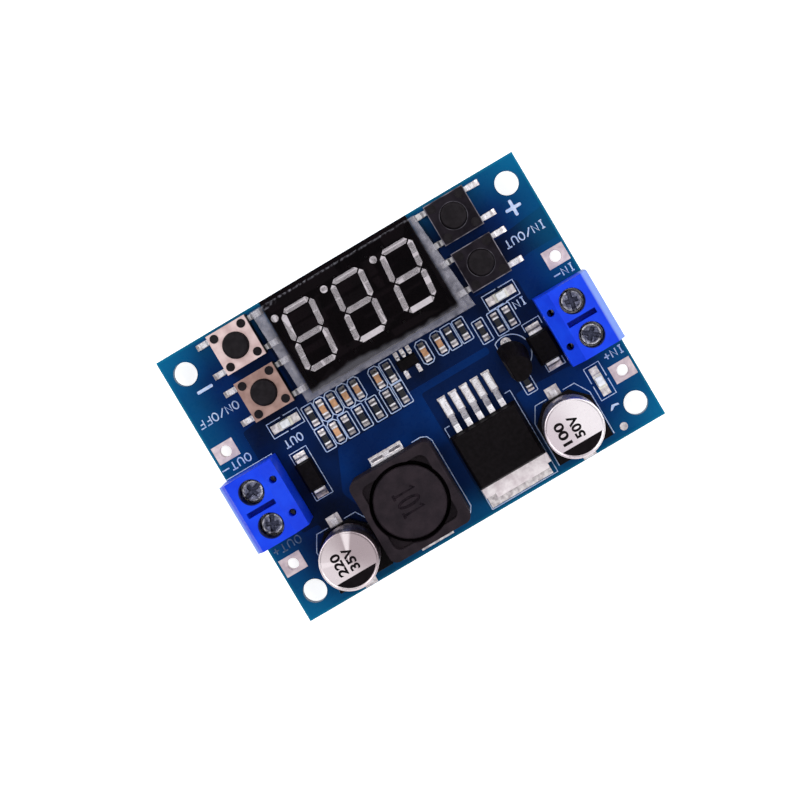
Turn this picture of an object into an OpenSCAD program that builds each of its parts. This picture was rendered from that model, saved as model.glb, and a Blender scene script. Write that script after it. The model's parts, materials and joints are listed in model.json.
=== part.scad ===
// Buck converter module with a three-digit display, four push switches and two
// screw terminals. The origin is the centre of the four mounting holes on the
// underside of the board. +X points at the input terminal, +Y at the display.

/* [Board] */
// Length of the board along X
board_l = 56; // [56:0.5:60]
// Width of the board along Y
board_w = 41; // [41:0.5:44]
// Thickness of the laminate
board_t = 1.6; // [1.2:0.2:2]
// Distance between the mounting holes along X
mount_dx = 50.6; // [50.2:0.2:51]
// Distance between the mounting holes along Y
mount_dy = 34.4; // [34:0.2:34.8]
// Diameter of the mounting holes
mount_d = 3.3; // [2.6:0.1:3.6]
// Length of the leads that pass below the underside
lead_below = 2; // [1.6:0.2:3]

/* [Screw terminals] */
// Length of a two-pole terminal
terminal_l = 10.16; // [10.1:0.02:10.3]
// Distance between its two poles
terminal_pitch = 5.08; // [5:0.02:5.1]
// Height of the housing
terminal_h = 10; // [9.8:0.1:11]
// Diameter of the holes over the screws
screw_hole_d = 3.4; // [3.2:0.1:3.6]
// Diameter of the screw's head
screw_head_d = 2.8; // [2.6:0.1:3.1]
// Radial clearance of the screw in the wire clamp's thread
screw_gap = 0.05; // [0.02:0.01:0.1]
// Lift of the wire clamp from open to closed
clamp_lift = 1.6; // [1:0.1:1.6]

/* [Display] */
// Length of the display case
display_l = 22.5; // [22.2:0.1:23]
// Width of the display case
display_w = 14; // [13.8:0.1:14.2]
// Height of the display case
display_h = 7.2; // [6.6:0.1:8]
// Distance between two digits
digit_pitch = 7.57; // [7.4:0.01:7.62]
// Height of a digit
digit_h = 9.2; // [8.8:0.1:9.6]
// Width of a segment's bar
segment_w = 0.8; // [0.6:0.05:0.9]
// Slant of the digits, in degrees
digit_slant = 5.4; // [0:0.2:8]

/* [Push switches] */
// Side of the square switch base
switch_side = 6; // [5.8:0.1:6.2]
// Height of the cover's top face
cover_top = 3.45; // [3.4:0.05:3.6]
// Diameter of the button
button_d = 3.5; // [3:0.1:3.6]
// Height of the button's top face
button_top = 4.3; // [4.1:0.1:6]
// Travel of the button
button_travel = 0.25; // [0.15:0.05:0.25]

/* [Capacitors] */
// Diameter of the cans
can_d = 8; // [7.6:0.1:8]
// Height of the can's top face
can_top = 10.2; // [8:0.1:12]

/* [Inductor] */
// Side of the square shield
inductor_side = 12.3; // [12.2:0.1:12.5]
// Height of the shield
inductor_h = 8; // [6:0.1:8.2]
// Diameter of the round well in the shield
well_d = 10.9; // [10.7:0.1:11]
// Diameter of the core's upper flange
core_d = 9.9; // [9.6:0.1:10.4]

/* [Hidden] */
$fn = 48;
eps = 0.01;
pad_t = 0.05;

// Places on the board, as [x, y]
output_terminal_y = -3.27;
input_terminal_y = -3.05;
terminal_face_x = 28.2;
wire_pads_at = [[-26, 5.4], [26, 5.4], [-26, -12.5], [26, -12.5]];
display_at = [0.15, 13.28];
minus_at = [-17, 17.05];
on_off_at = [-17, 9.7];
plus_at = [16.9, 17.05];
in_out_at = [16.9, 9.8];
switches_at = [minus_at, on_off_at, plus_at, in_out_at];
output_capacitor_at = [-18.1, -15.05];
input_capacitor_at = [16.35, -15.05];
inductor_at = [-7.35, -12.65];
regulator_at = [6.35, -8.3];
small_regulator_at = [14.3, -3];
output_diode_at = [-17.6, -3.2];
input_diode_at = [18.5, -4.25];
amplifier_at = [1.55, 3.25];
resistors_at = [
    [-13.4, 3.5], [-1.25, 3.3], [8.3, 3.2], [10.15, 3.2], [12.4, 1.7],
    [14.75, 1.65], [16.55, 1.65], [-13.4, 0], [-9.75, 0], [-7.55, 0],
    [-5.35, 0], [-3.15, 0], [-1.25, 0], [14.05, -7.2]
];
chip_capacitors_at = [
    [-11.6, 3.6], [-9.9, 3.6], [-8.05, 3.6], [-6.25, 3.6],
    [-3.1, 3.4], [4.2, 3.25], [6.55, 3.25], [-11.55, 0]
];
// Lights, as [x, y, turn in degrees]
leds_at = [[-17, 4.55, 90], [16.95, 4.6, 90], [22.6, -12.2, 0]];

// Screw terminals: x runs inward from the outer face, z up from the board
terminal_d = 7.9;
terminal_outline = [
    [0, 0], [terminal_d, 0], [terminal_d, terminal_h - 1.6],
    [6, terminal_h], [1, terminal_h], [0, terminal_h - 2]
];
screw_in = 3.7;
clamp_half = [2, 1.9];
clamp_z = 0.7;
clamp_h = 4.2;
clamp_wall = 0.5;
strip_z = 3.6;
strip_t = 0.5;
pocket_top = clamp_z + clamp_h + clamp_lift + 0.1;
shank_r = 1.25;
slot_depth = 3.2;
terminal_pin = [0.8, 1];

// Display
case_wall = 0.8;
case_recess = 1.3;
segment_depth = 0.4;
segment_gap = 0.3;
digit_w = 5;
point_d = 1;
pin_d = 0.5;
pin_rows = 10.16;
pin_pitch = 2.54;

// Push switches
cavity_r = 2.4;
cavity_floor = 1.1;
cover_t = 0.25;
stake_at = [2.1, 2.17];
switch_lead_y = 2.28;
switch_foot_end = 4.5;
dome_rise = 0.25;

// Power package
power_lead_pitch = 1.72;
power_lead_w = 0.85;

// Lean of the small regulator towards -Y, in degrees
small_regulator_lean = 20;

// Side and corner radius of the square well at the top of the inductor's shield
square_well = [9.8, 1.1];

// Chips
chip = [0.8, 1.6, 0.45];
chip_end = 0.27;

SWITCHES = ["minus", "on_off", "plus", "in_out"];
NODES = [
    "circuit_board", "wire_pads", "solder_pads", "underside_solder",
    "display_case", "display_segments", "display_pins", "display_film",
    "minus_switch_base", "minus_switch_cover", "minus_button",
    "on_off_switch_base", "on_off_switch_cover", "on_off_button",
    "plus_switch_base", "plus_switch_cover", "plus_button",
    "in_out_switch_base", "in_out_switch_cover", "in_out_button",
    "switch_leads", "switch_domes",
    "output_terminal_housing", "input_terminal_housing",
    "output_screw_a", "output_screw_b", "input_screw_a", "input_screw_b",
    "output_clamp_a", "output_clamp_b", "input_clamp_a", "input_clamp_b",
    "terminal_contacts",
    "output_capacitor_can", "input_capacitor_can",
    "output_capacitor_base", "input_capacitor_base", "capacitor_leads",
    "inductor_shield", "inductor_core", "inductor_winding",
    "inductor_base", "inductor_terminals",
    "regulator_body", "regulator_tab", "regulator_leads",
    "small_regulator_body", "small_regulator_leads",
    "output_diode_body", "input_diode_body", "diode_leads",
    "led_bodies", "led_lenses", "amplifier_body", "amplifier_leads",
    "chip_resistor_bodies", "chip_capacitor_bodies", "chip_ends",
    "microcontroller_body", "microcontroller_leads"
];
node = "all";

// ---------- Helpers ----------

// Puts the children on the top face of the board
module on_board(at, turn = 0) {
    translate([at.x, at.y, board_t]) rotate(turn) children();
}

// A block centred in x and y that stands on z
module block(size, z = 0) {
    translate([-size.x / 2, -size.y / 2, z]) cube(size);
}

// A [y, z] outline drawn out along x
module along_x(length, outline) {
    rotate([90, 0, 90]) linear_extrude(length, center = true) polygon(outline);
}

// An [x, z] outline drawn out along y
module along_y(length, outline) {
    rotate([90, 0, 0]) linear_extrude(length, center = true) polygon(outline);
}

// Outline of a moulded body that is widest at its parting line
function draft_outline(width, z0, parting, z1, draft) = [
    [-width / 2 + draft / 2, z0], [width / 2 - draft / 2, z0],
    [width / 2, parting], [width / 2 - draft, z1],
    [-width / 2 + draft, z1], [-width / 2, parting]
];

// Moulded body with draft on its four sides
module moulded(length, width, z0, parting, z1, draft) {
    intersection() {
        along_y(width + 2, draft_outline(length, z0, parting, z1, draft));
        along_x(length + 2, draft_outline(width, z0, parting, z1, draft));
    }
}

// Both mirror images of the children in x
module both_x() {
    children();
    mirror([1, 0, 0]) children();
}

// Both mirror images of the children in y
module both_y() {
    children();
    mirror([0, 1, 0]) children();
}

module ring(outer_r, inner_r, height, z = 0) {
    translate([0, 0, z]) difference() {
        cylinder(h = height, r = outer_r);
        translate([0, 0, -1]) cylinder(h = height + 2, r = inner_r);
    }
}

// ---------- Board ----------

function mount_points() = [
    for (x = [-1, 1], y = [-1, 1]) [x * mount_dx / 2, y * mount_dy / 2]
];
function display_pin_points() = [
    for (i = [0:5], s = [-1, 1])
        display_at + [(i - 2.5) * pin_pitch, s * pin_rows / 2]
];
function terminal_pin_points() = [
    for (t = [[-1, output_terminal_y], [1, input_terminal_y]], s = [-1, 1])
        [t[0] * (terminal_face_x - screw_in), t[1] + s * terminal_pitch / 2]
];
function small_regulator_pin_points() = [
    for (i = [-1:1]) small_regulator_at + [0, 1.7 * i]
];

module holes(points, d) {
    for (p = points) translate([p.x, p.y, -1]) cylinder(h = board_t + 2, d = d);
}

module circuit_board() color("#02306a") difference() {
    block([board_l, board_w, board_t]);
    holes(mount_points(), mount_d);
    holes(wire_pads_at, 1.8);
    holes(display_pin_points(), 0.8);
    holes(terminal_pin_points(), 1.4);
    holes(small_regulator_pin_points(), 0.8);
}

// Plated hole with a square land on each face
module wire_pad() difference() {
    union() {
        block([3.25, 2.6, pad_t], board_t);
        block([3.25, 2.6, pad_t], -pad_t);
        cylinder(h = board_t + pad_t, d = 1.8);
    }
    translate([0, 0, -1]) cylinder(h = board_t + 2, d = 1.6);
}

module wire_pads() color("#c9b3b8")
    for (p = wire_pads_at) translate([p.x, p.y, 0]) wire_pad();

// Flat land of solder
module land(x0, x1, y0, y1) {
    translate([min(x0, x1), min(y0, y1), 0]) cube([abs(x1 - x0), abs(y1 - y0), pad_t]);
}

// Land and fillet at the +y end of a chip
module chip_fillet() along_x(0.9, [
    [0.5, 0], [1.4, 0], [1.4, pad_t], [1.1, 0.14],
    [0.82, 0.38], [0.8, 0.38], [0.8, pad_t], [0.5, pad_t]
]);

// Land and fillet in front of a switch lead's foot
module switch_fillet() along_y(0.85, [
    [3.4, 0], [5.2, 0], [5.2, pad_t], [5.1, 0.13], [4.8, 0.27],
    [switch_foot_end, 0.3], [switch_foot_end, pad_t], [3.4, pad_t]
]);

// Land and fillet outside a diode lead
module diode_fillet(width) along_x(width, [
    [1.4, 0], [3.4, 0], [3.4, pad_t], [3.2, 0.12], [2.85, 0.3],
    [2.6, 0.7], [2.5, 0.75], [2.5, pad_t], [1.4, pad_t]
]);

// Lobe of solder between the inductor's terminal and its foot
module terminal_lobe() along_x(1.7, [[6.4, 0.25], [6.95, 0.25], [6.85, 0.5], [6.55, 0.85], [6.4, 0.9]]);

module solder_pads() color("#b4a9ab") {
    for (p = concat(resistors_at, chip_capacitors_at)) on_board(p) both_y() chip_fillet();
    for (p = leds_at) on_board(p, p[2]) both_y() land(-0.6, 0.6, 0.7, 2.1);
    for (p = switches_at, s = [-1, 1]) on_board(p)
        both_x() translate([0, s * switch_lead_y, 0]) switch_fillet();
    for (p = [output_capacitor_at, input_capacitor_at]) on_board(p) {
        land(-0.95, 0.95, 1, 5.65);
        land(-0.95, 0.95, -5.4, -1);
    }
    on_board(inductor_at) {
        both_y() land(-2.5, 2.5, 4.2, 7.3);
        for (x = [-1.37, 1.37]) translate([x, 0, 0]) terminal_lobe();
    }
    on_board(regulator_at) {
        for (i = [-2:2]) translate([i * power_lead_pitch, 0, 0]) land(-0.6, 0.6, 2.2, 5.2);
        land(-4.95, 4.55, -11.45, -1);
    }
    on_board(output_diode_at) both_y() diode_fillet(1.7);
    on_board(input_diode_at) both_y() diode_fillet(2);
    on_board(amplifier_at) {
        for (x = [-0.95, 0, 0.95]) land(x - 0.3, x + 0.3, 1, 2);
        for (x = [-0.95, 0.95]) land(x - 0.3, x + 0.3, -2, -1);
    }
    on_board(display_at) for (i = [-4.5:4.5]) both_y() land(i * 0.65 - 0.17, i * 0.65 + 0.17, 2.5, 3.5);
    on_board([0, 0]) {
        for (p = small_regulator_pin_points()) translate([p.x, p.y, 0]) ring(0.75, 0.36, pad_t);
        translate([22.3, -19.15, 0]) cylinder(h = pad_t, d = 1.1);
    }
}

// Solder cone round a lead on the underside
module solder_cone(r, hole_d) rotate([180, 0, 0]) difference() {
    union() {
        cylinder(h = 0.15, r = r);
        translate([0, 0, 0.15]) cylinder(h = 0.7, r1 = r, r2 = hole_d / 2 + 0.12);
    }
    translate([0, 0, -1]) cylinder(h = 3, d = hole_d);
}

module underside_solder() color("#b8b4b0") {
    for (p = display_pin_points()) translate([p.x, p.y, 0]) solder_cone(0.9, pin_d);
    for (p = terminal_pin_points()) translate([p.x, p.y, 0]) solder_cone(1.35, 1.3);
    for (p = small_regulator_pin_points()) translate([p.x, p.y, 0]) solder_cone(0.75, 0.64);
}

// ---------- Display ----------

function slanted(points) = [for (p = points) [p.x + p.y * tan(digit_slant), p.y]];

// Six-sided bar between two corners of a digit, level or upright
function bar(length, upright) = let (a = length / 2 - segment_gap / 2, b = segment_w / 2)
    [for (p = [[-a, 0], [b - a, b], [a - b, b], [a, 0], [a - b, -b], [b - a, -b]])
        upright ? [p.y, p.x] : p];
function moved(points, by) = [for (p = points) p + by];

module digit() {
    reach_x = digit_w - segment_w;
    reach_y = (digit_h - segment_w) / 2;
    for (row = [-1:1]) polygon(slanted(moved(bar(reach_x, false), [0, row * reach_y])));
    for (sx = [-1, 1], sy = [-1, 1])
        polygon(slanted(moved(bar(reach_y, true), [sx * reach_x / 2, sy * reach_y / 2])));
    point_y = (digit_h - point_d) / 2;
    translate([-3.3 + point_y * tan(digit_slant), point_y]) circle(d = point_d);
}

module segments(height) {
    for (i = [-1:1]) translate([i * digit_pitch, 0, 0]) linear_extrude(height) digit();
}

module display_case() color("#0a0406") on_board(display_at) difference() {
    block([display_l, display_w, display_h]);
    block([display_l - 2 * case_wall, display_w - 2 * case_wall, case_recess + eps], -eps);
    translate([0, 0, display_h - segment_depth]) segments(1);
}

module display_segments() color("#a9a3a6") on_board(display_at)
    translate([0, 0, display_h - segment_depth]) segments(segment_depth);

module display_pins() color("#e8e4e0") for (p = display_pin_points())
    translate([p.x, p.y, -lead_below]) cylinder(h = lead_below + board_t + case_recess, d = pin_d);

module display_film() color("#8f8b9c", 0.5) translate([0, 0, board_t + display_h])
    linear_extrude(0.08) polygon([[-12.8, 19.7], [12.35, 19.7], [13.45, 5.4], [-12.3, 5.6]]);

// ---------- Push switches ----------

module switch_base() color("#1d1b1e") {
    difference() {
        block([switch_side, switch_side, cover_top - cover_t]);
        translate([0, 0, cavity_floor]) cylinder(h = 5, r = cavity_r);
    }
    for (sx = [-1, 1], sy = [-1, 1])
        translate([sx * stake_at.x, sy * stake_at.y, cover_top - cover_t]) {
            cylinder(h = cover_t, r = 0.42);
            translate([0, 0, cover_t]) cylinder(h = 0.15, r = 0.6);
        }
}

module switch_cover(tint) color(tint) difference() {
    block([switch_side, switch_side, cover_t], cover_top - cover_t);
    cylinder(h = 9, d = button_d + 0.18);
    for (sx = [-1, 1], sy = [-1, 1])
        translate([sx * stake_at.x, sy * stake_at.y, 0]) cylinder(h = 9, r = 0.42);
}

// Button with the flange that the cover holds back; its foot presses the dome
module button() color("#221f24") {
    foot = cavity_floor + dome_rise + button_travel + 0.05;
    flange = cover_top - 0.29;
    rotate_extrude() polygon([
        [0, foot], [1, foot], [1, foot + 0.65], [cavity_r - 0.1, foot + 0.65],
        [cavity_r - 0.1, flange], [button_d / 2, flange], [button_d / 2, button_top - 0.12],
        [button_d / 2 - 0.12, button_top], [0, button_top]
    ]);
}

// Snap dome: a thin cap of a large sphere on the cavity's floor
module snap_dome() {
    rim = 2.2;
    sphere_r = (rim * rim + dome_rise * dome_rise) / (2 * dome_rise);
    rotate_extrude() intersection() {
        translate([0, cavity_floor + dome_rise - sphere_r]) difference() {
            circle(sphere_r, $fn = 96);
            circle(sphere_r - 0.08, $fn = 96);
        }
        translate([0, cavity_floor]) square([rim, 1]);
    }
}

module switch_domes() color("#d8cfc4") for (p = switches_at) on_board(p) snap_dome();

module switch_lead() along_y(0.75, [
    [3, 0.5], [3.3, 0.5], [3.55, pad_t], [switch_foot_end, pad_t], [switch_foot_end, 0.25],
    [3.7, 0.25], [3.42, 0.7], [3, 0.7]
]);

module switch_leads() color("#e8e4e0")
    for (p = switches_at, s = [-1, 1]) on_board(p)
        both_x() translate([0, s * switch_lead_y, 0]) switch_lead();

// ---------- Screw terminals ----------

// Puts the children at the output (-1) or input (1) terminal, x inward
module at_terminal(side) {
    y = side < 0 ? output_terminal_y : input_terminal_y;
    translate([side * terminal_face_x, y, board_t]) mirror([side > 0 ? 1 : 0, 0, 0]) children();
}

// Puts the children at pole a (-1) or b (1), on the screw's axis
module at_pole(side, pole) at_terminal(side) translate([screw_in, pole * terminal_pitch / 2, 0]) children();

module pole_pocket() {
    half = clamp_half + [0.15, 0.1];
    translate([-half.x, -half.y, -1]) cube([2 * half.x + 1.1, 2 * half.y, pocket_top + 1]);
    translate([0, 0, pocket_top - 1]) cylinder(h = terminal_h, d = screw_hole_d);
    translate([-screw_in - 1, -1.5, 0.9]) cube([screw_in, 3, 3.5]);
    translate([-screw_in - 1, -1.9, 0.5]) cube([1.5, 3.8, 4.3]);
    translate([3.2, 0, pocket_top - 0.5]) cylinder(h = 5, d = 1);
}

module terminal_housing() color("#1440f0") difference() {
    along_y(terminal_l, terminal_outline);
    for (pole = [-1, 1]) translate([screw_in, pole * terminal_pitch / 2, 0]) pole_pocket();
    translate([1.6, -0.375, terminal_h - slot_depth]) cube([4.2, 0.75, slot_depth + 1]);
}

// Captive screw; its tip stands on the contact strip
module terminal_screw(turn) color("#8e9098") rotate(turn) {
    head_r = screw_head_d / 2;
    head_z = pocket_top + 0.06;
    difference() {
        union() {
            translate([0, 0, head_z]) cylinder(h = 1.4, r = head_r);
            translate([0, 0, strip_z + strip_t + 0.05]) cylinder(h = head_z - strip_z - strip_t, r = shank_r);
        }
        block([2 * head_r + 1, 0.55, 1], head_z + 0.75);
        block([0.55, 1.7, 1], head_z + 0.75);
    }
}

// Square clamp that climbs the screw and lifts the wire to the strip
module wire_clamp() color("#d9d5cf") difference() {
    block([2 * clamp_half.x, 2 * clamp_half.y, clamp_h], clamp_z);
    block([6, 2 * clamp_half.y - 2 * clamp_wall, 3], clamp_z + clamp_wall);
    cylinder(h = 9, r = shank_r + screw_gap);
}

// Strip under the screw's tip, folded down behind the clamp to the pin
module contact_strip() {
    along_y(2.2, [
        [-1.9, strip_z], [2.4, strip_z], [2.4, 0.5], [-0.4, 0.5], [-0.4, 0.05],
        [2.9, 0.05], [2.9, strip_z + strip_t], [-1.9, strip_z + strip_t]
    ]);
    block([terminal_pin.x, terminal_pin.y, 0.3 + board_t + lead_below], -board_t - lead_below);
}

module terminal_contacts() color("#d9d5cf")
    for (side = [-1, 1], pole = [-1, 1]) at_pole(side, pole) contact_strip();

// ---------- Capacitors ----------

module capacitor_can(at) color("#d8cdd2") on_board(at) {
    r = can_d / 2;
    rotate_extrude() polygon([
        [0, 1.15], [r - 0.15, 1.15], [r, 1.3], [r, 1.9], [r - 0.28, 2.2], [r - 0.28, 2.5], [r, 2.8],
        [r, can_top - 0.14], [r - 0.06, can_top - 0.03], [r - 0.16, can_top],
        [r - 0.26, can_top - 0.03], [r - 0.32, can_top - 0.08], [0, can_top - 0.08]
    ]);
}

module base_outline() {
    h = can_d / 2 + 0.15;
    cut = h - 2.2;
    polygon([[-h, -h], [h, -h], [h, cut], [cut, h], [-cut, h], [-h, cut]]);
}

module capacitor_base(at) color("#151316") on_board(at) {
    translate([0, 0, 0.25]) linear_extrude(0.9) base_outline();
    intersection() {
        linear_extrude(1.85) base_outline();
        ring(can_d, can_d / 2 + 0.03, 0.7, 1.15);
    }
}

module capacitor_leads() color("#e8e4e0")
    for (p = [output_capacitor_at, input_capacitor_at]) on_board(p) both_y()
        translate([-0.45, 0.8, pad_t]) cube([0.9, 4.3, 0.2]);

// ---------- Inductor ----------

module rounded_square(side, r) {
    square([side, side - 2 * r], center = true);
    square([side - 2 * r, side], center = true);
    for (sx = [-1, 1], sy = [-1, 1]) translate([sx, sy] * (side / 2 - r)) circle(r);
}

module inductor_shield() color("#332c31") on_board(inductor_at) difference() {
    translate([0, 0, 0.9]) linear_extrude(inductor_h - 0.9) rounded_square(inductor_side, 1.1);
    cylinder(h = 20, d = well_d);
    // The corners of a shallower square well stand out beyond the round one
    translate([0, 0, inductor_h - 1.6]) linear_extrude(2) rounded_square(square_well[0], square_well[1]);
}

module inductor_core() color("#332c31") on_board(inductor_at) rotate_extrude() polygon([
    [0, 0.9], [5.3, 0.9], [5.3, 2.1], [2.4, 2.1], [2.4, inductor_h - 1.5],
    [core_d / 2, inductor_h - 1.5], [core_d / 2, inductor_h - 0.4],
    [core_d / 2 - 0.15, inductor_h - 0.25], [0, inductor_h - 0.25]
]);

module inductor_winding() color("#b06a3a") on_board(inductor_at) rotate_extrude() {
    turns = 5;
    pitch = (inductor_h - 3.6) / turns;
    translate([2.4, 2.1]) square([1.9, inductor_h - 3.6]);
    for (i = [0:turns - 1]) translate([4.3, 2.1 + (i + 0.5) * pitch]) circle(d = pitch - eps);
}

module inductor_base() color("#241f22") on_board(inductor_at)
    translate([0, 0, 0.25]) linear_extrude(0.65) rounded_square(inductor_side - 0.3, 1.1);

module inductor_terminals() color("#d9d5cf") on_board(inductor_at) both_y() along_x(5, [
    [4.4, pad_t], [7, pad_t], [7, 0.25], [6.4, 0.25], [6.4, 1.7],
    [inductor_side / 2, 1.7], [inductor_side / 2, 0.25], [4.4, 0.25]
]);

// ---------- Regulators ----------

module regulator_body() color("#171214") on_board(regulator_at) difference() {
    translate([0, -4.15, 0]) moulded(10.1, 8.3, 0.1, 2.75, 4.5, 0.35);
    translate([-4.4, -12, -1]) cube([8.9, 11, 2.35]);
}

module regulator_tab() color("#e3dadb") on_board(regulator_at) difference() {
    union() {
        translate([-4.4, -9, pad_t]) cube([8.9, 8, 1.3]);
        translate([-5.05, -9.8, pad_t]) cube([10.25, 1.44, 1.3]);
        translate([-3.65, -10.45, pad_t]) cube([8.2, 0.66, 1.3]);
    }
    translate([0, -1, -1]) cube([0.1, 3, 3]);
}

module regulator_leads() color("#e8e4e0") on_board(regulator_at) for (i = [-2:2])
    translate([i * power_lead_pitch, 0, 0]) along_x(power_lead_w, [
        [0, 2.5], [0.8, 2.5], [2.2, pad_t], [5, pad_t], [5, 0.5], [2.5, 0.5], [1.1, 3], [0, 3]
    ]);

module leaning()
    on_board(small_regulator_at) translate([0, 0, 1.2]) rotate([small_regulator_lean, 0, 0]) children();

module small_regulator_body() color("#17131a") leaning() translate([-0.3, 0.2, 1.2]) difference() {
    cylinder(h = 4.7, r1 = 2.35, r2 = 1.85);
    translate([-4, -4, -1]) cube([2.6, 8, 7]);
    // The upper half of the flat face slopes in
    translate([-1.4, -4, 2.4]) rotate([0, 8, 0]) translate([-3, 0, 0]) cube([3, 8, 5]);
}

module small_regulator_leads() color("#e8e4e0") {
    for (p = small_regulator_pin_points()) translate([p.x, p.y, 0]) block([0.45, 0.45, board_t + 2.2], -1);
    leaning() for (i = [-1:1]) translate([0, i * 1.7, 0]) block([0.45, 0.45, 1.25], -0.05);
}

// ---------- Diodes ----------

module diode_body(at, width, length, height) color("#1a161a") on_board(at)
    moulded(width, length, 0.3, height / 2, height, 0.3);

// Strip that leaves the body's end at half height and folds down to the land
module diode_lead(width, reach, height) along_x(width, [
    [reach, height / 2 - 0.1], [reach + 0.15, height / 2 - 0.1], [reach + 0.15, 0.25],
    [reach - 0.6, 0.25], [reach - 0.6, pad_t], [reach + 0.35, pad_t],
    [reach + 0.35, height / 2 + 0.1], [reach, height / 2 + 0.1]
]);

module diode_leads() color("#e8e4e0") {
    on_board(output_diode_at) both_y() diode_lead(1.4, 2.15, 2.1);
    on_board(input_diode_at) both_y() diode_lead(1.9, 2.15, 2.3);
}

// ---------- Small surface parts ----------

module led_bodies() color("#e9e6dc") for (p = leds_at) on_board(p, p[2]) block([1.25, 2, 0.35], pad_t);

module led_lenses() color("#ece7cf") for (p = leds_at) on_board(p, p[2])
    along_y(1.3, [[-0.6, 0.4], [0.6, 0.4], [0.5, 0.85], [-0.5, 0.85]]);

module amplifier_body() color("#1a161a") on_board(amplifier_at) moulded(2.9, 1.6, 0.1, 0.65, 1.15, 0.15);

module amplifier_lead() along_x(0.4, [
    [0.8, 0.58], [1, 0.58], [1.15, pad_t], [1.6, pad_t], [1.6, 0.19], [1.27, 0.19], [1.12, 0.72], [0.8, 0.72]
]);

module amplifier_leads() color("#e8e4e0") on_board(amplifier_at) {
    for (x = [-0.95, 0, 0.95]) translate([x, 0, 0]) amplifier_lead();
    for (x = [-0.95, 0.95]) translate([x, 0, 0]) mirror([0, 1, 0]) amplifier_lead();
}

module chip_body() block([chip.x, chip.y - 2 * chip_end, chip.z], pad_t);

module chip_resistor_bodies() color("#1b181b") for (p = resistors_at) on_board(p) chip_body();

module chip_capacitor_bodies() color("#b98a60") for (p = chip_capacitors_at) on_board(p) chip_body();

module chip_ends() color("#dcd6d2")
    for (p = concat(resistors_at, chip_capacitors_at)) on_board(p) both_y()
        translate([-chip.x / 2, chip.y / 2 - chip_end, pad_t]) cube([chip.x, chip_end, chip.z]);

module microcontroller_body() color("#17131a") on_board(display_at) moulded(6.5, 4.4, 0.15, 0.6, 1.05, 0.15);

module microcontroller_leads() color("#e8e4e0") on_board(display_at) for (i = [-4.5:4.5])
    translate([i * 0.65, 0, 0]) both_y() along_x(0.22, [
        [2.2, 0.54], [2.4, 0.54], [2.6, pad_t], [3.2, pad_t], [3.2, 0.17], [2.7, 0.17], [2.5, 0.66], [2.2, 0.66]
    ]);

// ---------- Nodes ----------

steel = "#dcc6c6";
black_steel = "#262228";
function wanted(name) = node == "all" || node == name;

if (wanted("circuit_board")) circuit_board();
if (wanted("wire_pads")) wire_pads();
if (wanted("solder_pads")) solder_pads();
if (wanted("underside_solder")) underside_solder();
if (wanted("display_case")) display_case();
if (wanted("display_segments")) display_segments();
if (wanted("display_pins")) display_pins();
if (wanted("display_film")) display_film();
for (i = [0:3]) {
    if (wanted(str(SWITCHES[i], "_switch_base"))) on_board(switches_at[i]) switch_base();
    if (wanted(str(SWITCHES[i], "_switch_cover")))
        on_board(switches_at[i]) switch_cover(i < 2 ? steel : black_steel);
    if (wanted(str(SWITCHES[i], "_button"))) on_board(switches_at[i]) button();
}
if (wanted("switch_leads")) switch_leads();
if (wanted("switch_domes")) switch_domes();
if (wanted("output_terminal_housing")) at_terminal(-1) terminal_housing();
if (wanted("input_terminal_housing")) at_terminal(1) terminal_housing();
if (wanted("output_screw_a")) at_pole(-1, -1) terminal_screw(65);
if (wanted("output_screw_b")) at_pole(-1, 1) terminal_screw(20);
if (wanted("input_screw_a")) at_pole(1, -1) terminal_screw(40);
if (wanted("input_screw_b")) at_pole(1, 1) terminal_screw(100);
if (wanted("output_clamp_a")) at_pole(-1, -1) wire_clamp();
if (wanted("output_clamp_b")) at_pole(-1, 1) wire_clamp();
if (wanted("input_clamp_a")) at_pole(1, -1) wire_clamp();
if (wanted("input_clamp_b")) at_pole(1, 1) wire_clamp();
if (wanted("terminal_contacts")) terminal_contacts();
if (wanted("output_capacitor_can")) capacitor_can(output_capacitor_at);
if (wanted("input_capacitor_can")) capacitor_can(input_capacitor_at);
if (wanted("output_capacitor_base")) capacitor_base(output_capacitor_at);
if (wanted("input_capacitor_base")) capacitor_base(input_capacitor_at);
if (wanted("capacitor_leads")) capacitor_leads();
if (wanted("inductor_shield")) inductor_shield();
if (wanted("inductor_core")) inductor_core();
if (wanted("inductor_winding")) inductor_winding();
if (wanted("inductor_base")) inductor_base();
if (wanted("inductor_terminals")) inductor_terminals();
if (wanted("regulator_body")) regulator_body();
if (wanted("regulator_tab")) regulator_tab();
if (wanted("regulator_leads")) regulator_leads();
if (wanted("small_regulator_body")) small_regulator_body();
if (wanted("small_regulator_leads")) small_regulator_leads();
if (wanted("output_diode_body")) diode_body(output_diode_at, 2.6, 4.3, 2.1);
if (wanted("input_diode_body")) diode_body(input_diode_at, 3.4, 4.3, 2.3);
if (wanted("diode_leads")) diode_leads();
if (wanted("led_bodies")) led_bodies();
if (wanted("led_lenses")) led_lenses();
if (wanted("amplifier_body")) amplifier_body();
if (wanted("amplifier_leads")) amplifier_leads();
if (wanted("chip_resistor_bodies")) chip_resistor_bodies();
if (wanted("chip_capacitor_bodies")) chip_capacitor_bodies();
if (wanted("chip_ends")) chip_ends();
if (wanted("microcontroller_body")) microcontroller_body();
if (wanted("microcontroller_leads")) microcontroller_leads();
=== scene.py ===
import math

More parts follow.
